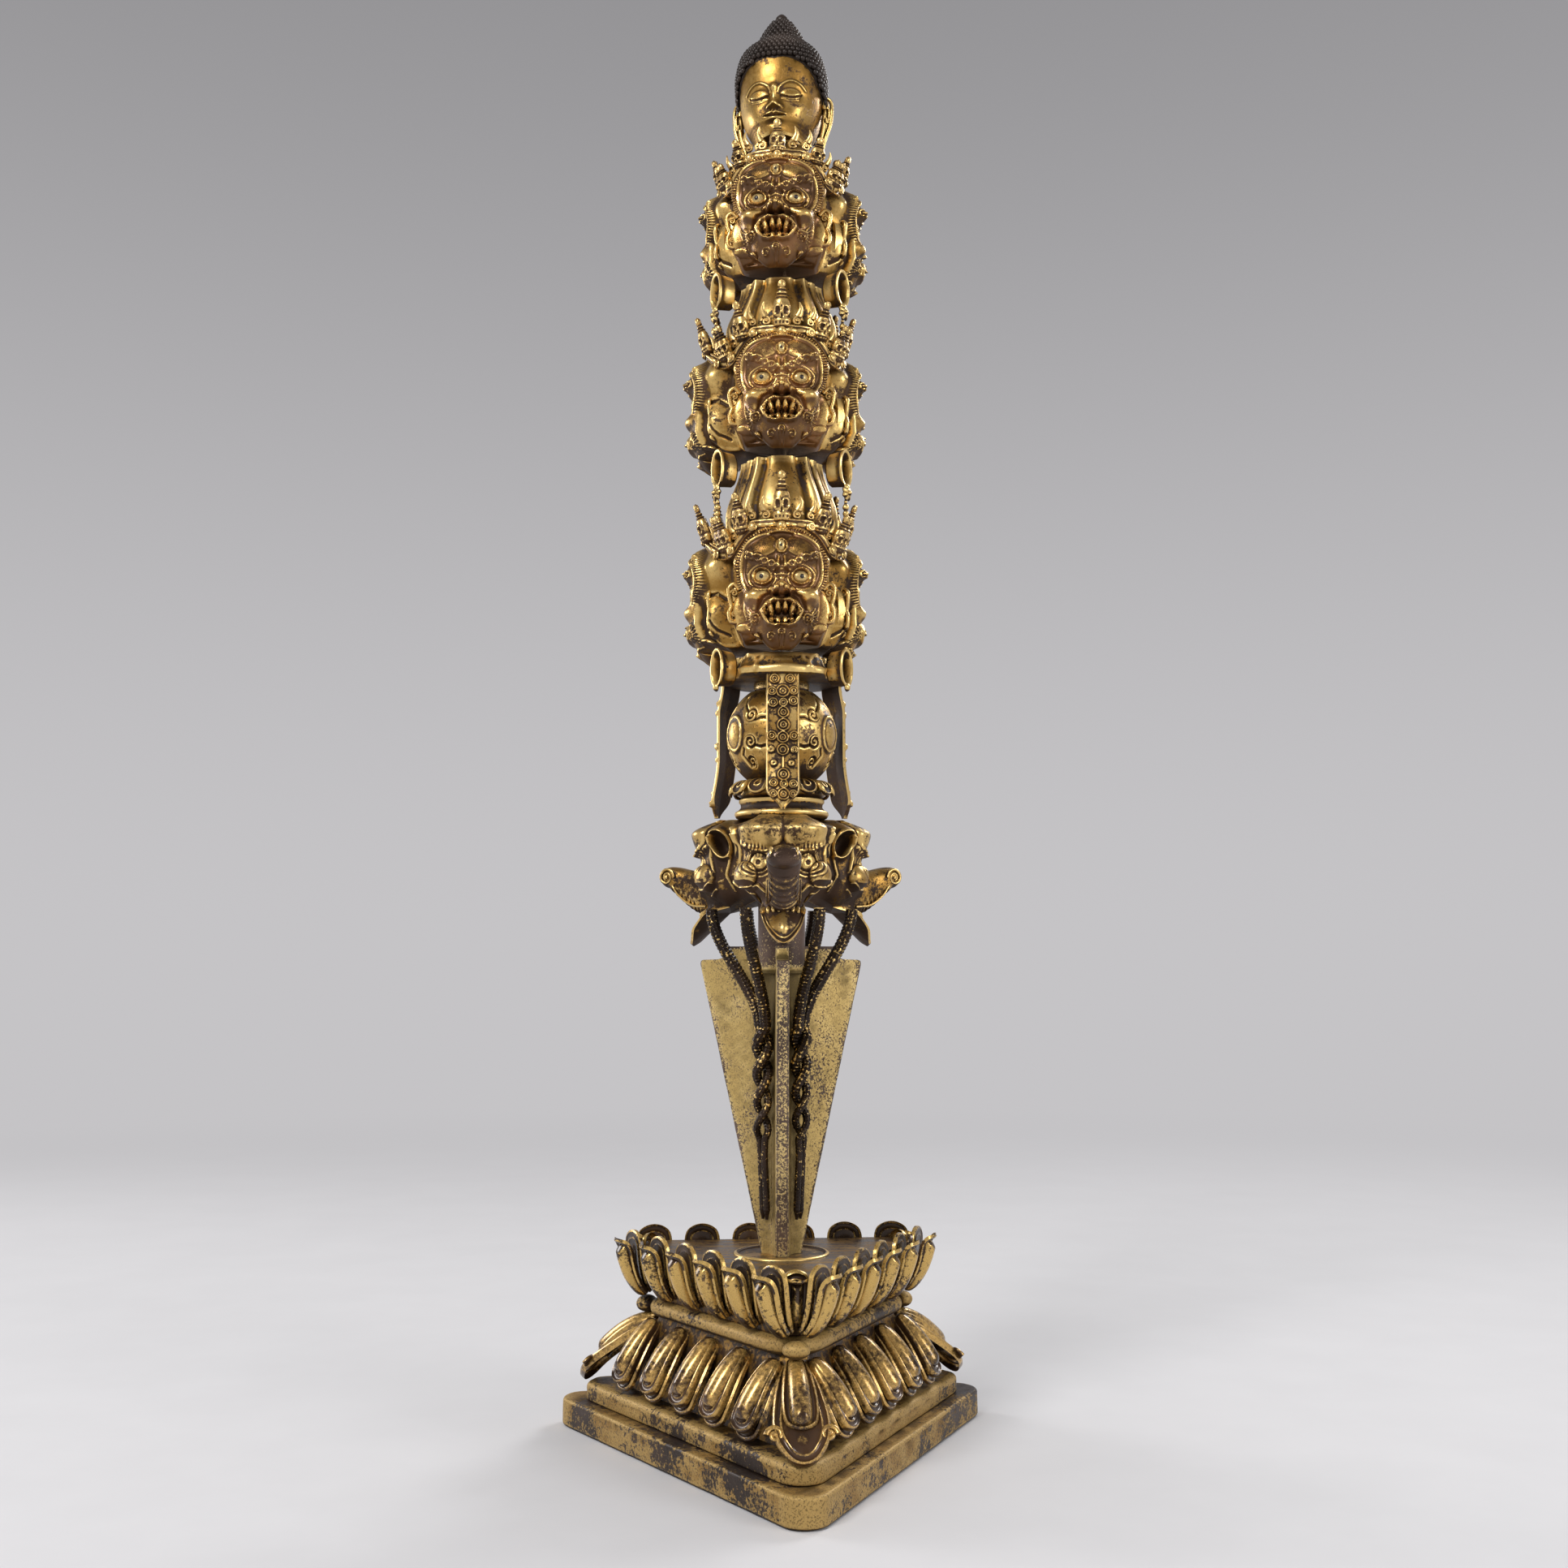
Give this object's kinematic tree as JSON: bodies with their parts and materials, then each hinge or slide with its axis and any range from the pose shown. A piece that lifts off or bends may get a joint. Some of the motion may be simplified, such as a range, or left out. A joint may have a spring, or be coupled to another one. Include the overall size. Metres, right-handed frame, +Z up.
{
  "type": "phurba",
  "caption": "Three-winged ritual dagger with tiers of three-faced heads, upright in a triangular lotus stand from which it lifts out.",
  "frame": {"origin": "centre of the stand's underside, on the axis of the dagger", "axes": "+Z up along the dagger towards the top head, -Y towards the stand's front corner, +X to the viewer's right"},
  "size_m": [0.1766, 0.1555, 0.6],
  "materials": {
    "gilt_bright": "worn gilding, bright on the raised parts, dark in the hollows",
    "gilt_face": "gilding rubbed to the bronze on cheeks and brows",
    "gilt_worn": "gilding with large bare dark patches",
    "gilt_speckled": "pale gilding with small dark specks",
    "gilt_dark": "dark patina with gilding left on the edges",
    "bronze_dark": "near-black patina with glints of gilding",
    "lacquer_amber": "glossy dark brown with amber rubbed ridges",
    "lacquer_dark": "dark brown with faint streaks of gilding",
    "hair_dark": "black-brown, satin",
    "steel": "plain turned steel"
  },
  "bodies": {
    "stand": {"foot_plate": "gilt_worn", "step_plate": "gilt_worn", "lower_drum": "lacquer_dark", "lower_petals": "lacquer_amber", "waist_band": "gilt_worn", "upper_drum": "lacquer_dark", "upper_petals": "lacquer_amber", "deck_plate": "lacquer_dark", "socket_sleeve": "gilt_dark", "tie_pins": "steel"},
    "phurba": {"blade": "gilt_speckled", "tang_rod": "steel", "tang_nut": "steel", "serpents_right": "bronze_dark", "serpents_back": "bronze_dark", "serpents_left": "bronze_dark", "monster_front": "gilt_dark", "monster_right": "gilt_dark", "monster_left": "gilt_dark", "trunk_front": "gilt_dark", "trunk_right": "gilt_dark", "trunk_left": "gilt_dark", "monster_collar": "gilt_bright", "lotus_ring": "gilt_dark", "knot_ball": "gilt_bright", "ball_cap": "bronze_dark", "band_front": "gilt_dark", "band_right": "gilt_dark", "band_left": "gilt_dark", "bust_low": "gilt_bright", "bust_mid": "gilt_bright", "bust_top": "gilt_bright", "head_low_front": "gilt_face", "head_low_right": "gilt_face", "head_low_left": "gilt_face", "head_mid_front": "gilt_face", "head_mid_right": "gilt_face", "head_mid_left": "gilt_face", "head_top_front": "gilt_face", "head_top_right": "gilt_face", "head_top_left": "gilt_face", "crown_low_front": "bronze_dark", "crown_low_right": "bronze_dark", "crown_low_left": "bronze_dark", "crown_mid_front": "bronze_dark", "crown_mid_right": "bronze_dark", "crown_mid_left": "bronze_dark", "crown_top_front": "bronze_dark", "crown_top_right": "bronze_dark", "crown_top_left": "bronze_dark", "spools_low": "gilt_bright", "spools_mid": "gilt_bright", "spools_top": "gilt_bright", "pendants_mid": "gilt_dark", "pendants_top": "gilt_dark", "serene_neck": "gilt_bright", "serene_head": "gilt_face", "hair_cap": "hair_dark"}
  },
  "joints": [
    {"name": "phurba_lift", "type": "slide", "parent": "stand", "child": "phurba", "axis": [0, 0, 1], "range_m": [0, 0.03]}
  ]
}
